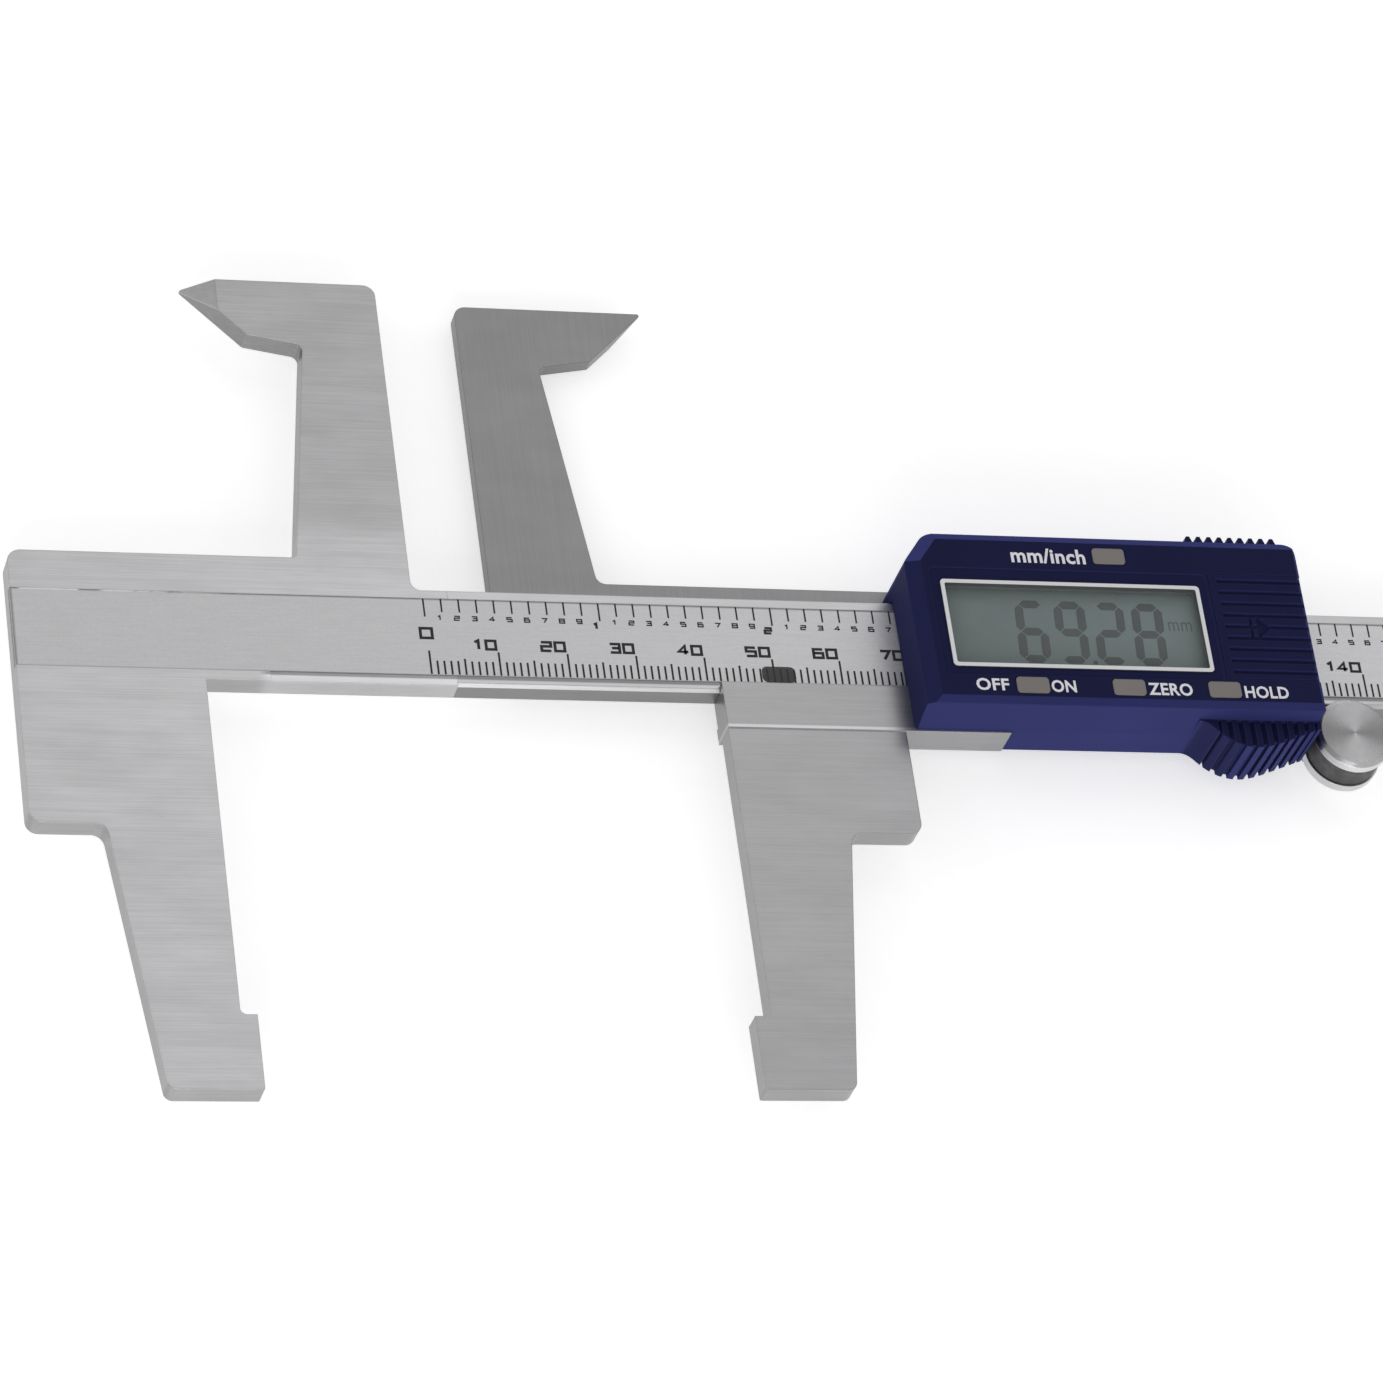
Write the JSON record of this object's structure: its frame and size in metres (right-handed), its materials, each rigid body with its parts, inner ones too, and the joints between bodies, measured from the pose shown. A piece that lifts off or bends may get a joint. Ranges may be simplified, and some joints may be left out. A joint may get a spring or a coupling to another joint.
{
  "type": "digital caliper",
  "caption": "Digital caliper with outside jaws, hooked inside blades, ruled beam, sliding display housing with keys and battery cover, and a thumb roller.",
  "frame": {"origin": "centre of the fixed lower jaw's measuring face, at mid-thickness of the beam", "axes": "+X along the beam, the way the reading grows; +Y from the lower jaws to the inside blades; +Z out of the display"},
  "size_m": [0.3346, 0.13, 0.0155],
  "materials": {
    "fixed_steel": "fine ground stainless steel",
    "moving_steel": "ground stainless steel, grain along Y on the jaws",
    "scale_print": "satin plate with black printed divisions",
    "circuit_green": "solder-masked laminate",
    "screw_steel": "turned steel",
    "brass": "plain",
    "navy_plastic": "fine moulded grain",
    "rim_silver": "satin silver",
    "clear_window": "clear",
    "display_grey": "grey-green liquid-crystal glass",
    "contact_rubber": "layered elastomer",
    "chip_black": "moulded",
    "dome_metal": "pressed",
    "key_grey": "smooth taupe-grey",
    "cell_steel": "nickel plated",
    "roller_steel": "turned rings",
    "roller_rubber": "ribbed",
    "spring_steel": "rolled strip"
  },
  "bodies": {
    "frame": {"fixed_jaw": "fixed_steel", "beam": "fixed_steel", "stator_strip": "circuit_green", "scale_plate": "scale_print", "end_stop": "screw_steel", "end_stop_screws": "screw_steel"},
    "slide": {"moving_lower_jaw": "moving_steel", "moving_upper_jaw": "moving_steel", "jaw_screws": "screw_steel", "top_guide": "moving_steel", "gib_strip": "brass", "gib_set_screws": "screw_steel", "housing_front": "navy_plastic", "housing_back": "navy_plastic", "housing_screws": "screw_steel", "lcd_bezel": "rim_silver", "lcd_window": "clear_window", "lcd_panel": "display_grey", "zebra_strips": "contact_rubber", "main_board": "circuit_green", "pickup_board": "circuit_green", "controller_chip": "chip_black", "key_domes": "dome_metal", "button_cell": "cell_steel", "cell_contact_negative": "dome_metal", "cell_contact_positive": "dome_metal", "roller_axle": "screw_steel", "roller_bracket": "spring_steel", "bracket_screws": "screw_steel"},
    "battery_door": {"battery_door": "navy_plastic"},
    "key_mm_inch": {"key_mm_inch": "key_grey"},
    "key_off_on": {"key_off_on": "key_grey"},
    "key_zero": {"key_zero": "key_grey"},
    "key_hold": {"key_hold": "key_grey"},
    "thumb_roller": {"roller_front_disc": "roller_steel", "roller_tyre": "roller_rubber", "roller_back_disc": "roller_steel"}
  },
  "joints": [
    {"name": "slide_travel", "type": "slide", "parent": "frame", "child": "slide", "axis": [1, 0, 0], "range_m": [-0.06928, 0.13072]},
    {"name": "battery_door_slide", "type": "slide", "parent": "slide", "child": "battery_door", "axis": [1, 0, 0], "range_m": [0, 0.016]},
    {"name": "key_mm_inch_press", "type": "slide", "parent": "slide", "child": "key_mm_inch", "axis": [0, 0, -1], "range_m": [0, 0.0004], "stiffness_N_per_m": 800, "springref_m": -0.0002},
    {"name": "key_off_on_press", "type": "slide", "parent": "slide", "child": "key_off_on", "axis": [0, 0, -1], "range_m": [0, 0.0004], "stiffness_N_per_m": 800, "springref_m": -0.0002},
    {"name": "key_zero_press", "type": "slide", "parent": "slide", "child": "key_zero", "axis": [0, 0, -1], "range_m": [0, 0.0004], "stiffness_N_per_m": 800, "springref_m": -0.0002},
    {"name": "key_hold_press", "type": "slide", "parent": "slide", "child": "key_hold", "axis": [0, 0, -1], "range_m": [0, 0.0004], "stiffness_N_per_m": 800, "springref_m": -0.0002},
    {"name": "roller_spin", "type": "hinge", "parent": "slide", "child": "thumb_roller", "pos_m": [0.16588, 0.0521, 0], "axis": [0, 0, 1], "continuous": true}
  ],
  "couplings": [
    {"joint": "roller_spin", "follows": "slide_travel", "rad_per_m": 180.18}
  ]
}
